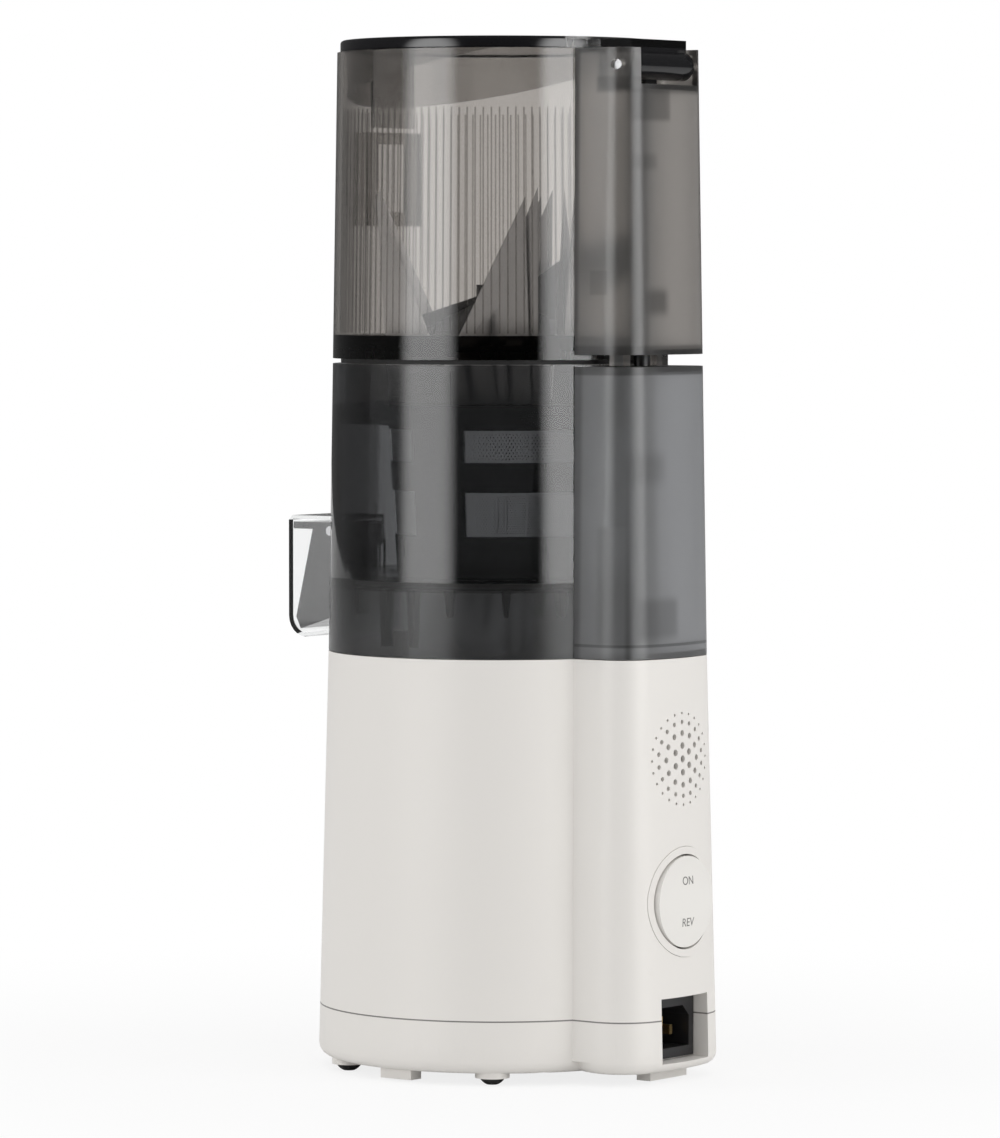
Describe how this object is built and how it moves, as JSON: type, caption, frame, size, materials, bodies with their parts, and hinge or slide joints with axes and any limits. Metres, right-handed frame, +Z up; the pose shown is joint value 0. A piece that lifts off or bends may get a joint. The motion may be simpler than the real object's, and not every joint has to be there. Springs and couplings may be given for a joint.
{
  "type": "cold press juicer",
  "caption": "Vertical slow juicer: white motor base with tray, smoky clear chamber with strainer and screw, tall clear hopper, hinged lid and rear block.",
  "frame": {"origin": "on the drive axis, at the surface that the feet stand on", "axes": "+Z up along the drive axis, -Y towards the juice spout, +Y towards the rear block with the switch and the mains inlet, +X to the right when seen from the front"},
  "size_m": [0.1703, 0.2007, 0.435],
  "materials": {
    "white_shell": "satin",
    "white_gloss": "gloss",
    "black_rubber": "matte",
    "grey_rubber": "matte",
    "dark_plastic": "satin",
    "black_gloss": "gloss",
    "smoky_clear": "gloss",
    "frosted_clear": "frosted",
    "clear_plastic": "gloss",
    "steel": "brushed",
    "cast_aluminium": "cast",
    "contact_brass": "plain",
    "copper_wire": "lacquered",
    "gear_nylon": "satin",
    "board_laminate": "satin"
  },
  "bodies": {
    "base": {"base_shell": "white_shell", "base_tray": "white_shell", "feet": "black_rubber", "tray_screws": "steel", "switch_bezel": "white_shell", "switch_body": "dark_plastic", "power_inlet": "dark_plastic", "inlet_pins": "contact_brass", "gearbox_housing": "cast_aluminium", "gearbox_cover": "cast_aluminium", "gearbox_screws": "steel", "output_bearing": "steel", "motor_can": "steel", "motor_end_cap": "cast_aluminium", "motor_bearings": "steel", "stator_core": "steel", "stator_windings": "copper_wire", "shaft_bushing": "contact_brass", "shaft_seal": "black_rubber", "control_board": "board_laminate", "board_parts": "dark_plastic", "board_screws": "steel", "interlock_switch": "dark_plastic"},
    "rocker": {"switch_rocker": "white_gloss"},
    "plunger": {"interlock_plunger": "white_gloss"},
    "rotor_set": {"motor_shaft": "steel", "rotor": "steel", "cooling_fan": "dark_plastic", "motor_pinion": "contact_brass"},
    "carrier_one": {"first_carrier": "steel"},
    "planet_1a": {"first_planet_a": "gear_nylon"},
    "planet_1b": {"first_planet_b": "gear_nylon"},
    "planet_1c": {"first_planet_c": "gear_nylon"},
    "drive": {"drive_shaft": "steel"},
    "planet_2a": {"second_planet_a": "gear_nylon"},
    "planet_2b": {"second_planet_b": "gear_nylon"},
    "planet_2c": {"second_planet_c": "gear_nylon"},
    "chamber": {"chamber_bowl": "smoky_clear", "chamber_back": "frosted_clear", "bowl_seal": "grey_rubber", "pulp_plug": "grey_rubber", "strainer_cage": "black_gloss", "strainer_mesh": "steel"},
    "rod_low": {"lower_rod": "dark_plastic"},
    "screw": {"juicing_screw": "dark_plastic"},
    "valve": {"juice_valve": "black_gloss", "juice_cover": "clear_plastic", "valve_seal": "grey_rubber", "valve_pin": "steel"},
    "hopper": {"hopper_drum": "smoky_clear", "hopper_back": "frosted_clear", "hopper_gasket": "black_rubber", "chute_guard": "smoky_clear", "hinge_pin": "steel"},
    "rod_high": {"upper_rod": "dark_plastic"},
    "lid_set": {"lid": "smoky_clear", "lid_hinge": "black_gloss"},
    "wing": {"cutting_wing": "dark_plastic"}
  },
  "joints": [
    {"name": "switch_rock", "type": "hinge", "parent": "base", "child": "rocker", "pos_m": [0, 0.09117, 0.0755], "axis": [1, 0, 0], "range_deg": [-6, 6]},
    {"name": "drive_spin", "type": "hinge", "parent": "base", "child": "drive", "pos_m": [0, 0, 0], "axis": [0, 0, 1], "continuous": true},
    {"name": "rotor_spin", "type": "hinge", "parent": "base", "child": "rotor_set", "pos_m": [0, 0, 0], "axis": [0, 0, 1], "continuous": true},
    {"name": "carrier_spin", "type": "hinge", "parent": "base", "child": "carrier_one", "pos_m": [0, 0, 0], "axis": [0, 0, 1], "continuous": true},
    {"name": "planet_1a_spin", "type": "hinge", "parent": "carrier_one", "child": "planet_1a", "pos_m": [0.015, 0, 0], "axis": [0, 0, 1], "continuous": true},
    {"name": "planet_1b_spin", "type": "hinge", "parent": "carrier_one", "child": "planet_1b", "pos_m": [-0.0075, 0.01299, 0], "axis": [0, 0, 1], "continuous": true},
    {"name": "planet_1c_spin", "type": "hinge", "parent": "carrier_one", "child": "planet_1c", "pos_m": [-0.0075, -0.01299, 0], "axis": [0, 0, 1], "continuous": true},
    {"name": "planet_2a_spin", "type": "hinge", "parent": "drive", "child": "planet_2a", "pos_m": [0.015, 0, 0], "axis": [0, 0, 1], "continuous": true},
    {"name": "planet_2b_spin", "type": "hinge", "parent": "drive", "child": "planet_2b", "pos_m": [-0.0075, 0.01299, 0], "axis": [0, 0, 1], "continuous": true},
    {"name": "planet_2c_spin", "type": "hinge", "parent": "drive", "child": "planet_2c", "pos_m": [-0.0075, -0.01299, 0], "axis": [0, 0, 1], "continuous": true},
    {"name": "chamber_lift", "type": "slide", "parent": "base", "child": "chamber", "axis": [0, 0, 1], "range_m": [0, 0.06]},
    {"name": "screw_spin", "type": "hinge", "parent": "chamber", "child": "screw", "pos_m": [0, 0, 0], "axis": [0, 0, 1], "continuous": true},
    {"name": "valve_swing", "type": "hinge", "parent": "chamber", "child": "valve", "pos_m": [0, -0.0785, 0.226], "axis": [-1, 0, 0], "range_deg": [0, 80]},
    {"name": "hopper_lift", "type": "slide", "parent": "chamber", "child": "hopper", "axis": [0, 0, 1], "range_m": [0, 0.04]},
    {"name": "wing_spin", "type": "hinge", "parent": "hopper", "child": "wing", "pos_m": [0, 0, 0], "axis": [0, 0, 1], "continuous": true},
    {"name": "lid_swing", "type": "hinge", "parent": "hopper", "child": "lid_set", "pos_m": [0, 0.082, 0.423], "axis": [-1, 0, 0], "range_deg": [0, 100]},
    {"name": "plunger_slide", "type": "slide", "parent": "base", "child": "plunger", "axis": [0, 0, 1], "range_m": [0, 0.002]},
    {"name": "low_rod_slide", "type": "slide", "parent": "chamber", "child": "rod_low", "axis": [0, 0, 1], "range_m": [0, 0.002]},
    {"name": "high_rod_slide", "type": "slide", "parent": "hopper", "child": "rod_high", "axis": [0, 0, 1], "range_m": [0, 0.002]}
  ],
  "couplings": [
    {"joint": "carrier_spin", "follows": "drive_spin", "ratio": 5},
    {"joint": "rotor_spin", "follows": "drive_spin", "ratio": 25},
    {"joint": "planet_1a_spin", "follows": "drive_spin", "ratio": -13.333},
    {"joint": "planet_1b_spin", "follows": "drive_spin", "ratio": -13.333},
    {"joint": "planet_1c_spin", "follows": "drive_spin", "ratio": -13.333},
    {"joint": "planet_2a_spin", "follows": "drive_spin", "ratio": -2.6667},
    {"joint": "planet_2b_spin", "follows": "drive_spin", "ratio": -2.6667},
    {"joint": "planet_2c_spin", "follows": "drive_spin", "ratio": -2.6667},
    {"joint": "screw_spin", "follows": "drive_spin", "ratio": 1},
    {"joint": "wing_spin", "follows": "drive_spin", "ratio": 1},
    {"joint": "plunger_slide", "follows": "lid_swing", "m_per_rad": 0.0011459},
    {"joint": "low_rod_slide", "follows": "lid_swing", "m_per_rad": 0.0011459},
    {"joint": "high_rod_slide", "follows": "lid_swing", "m_per_rad": 0.0011459}
  ]
}
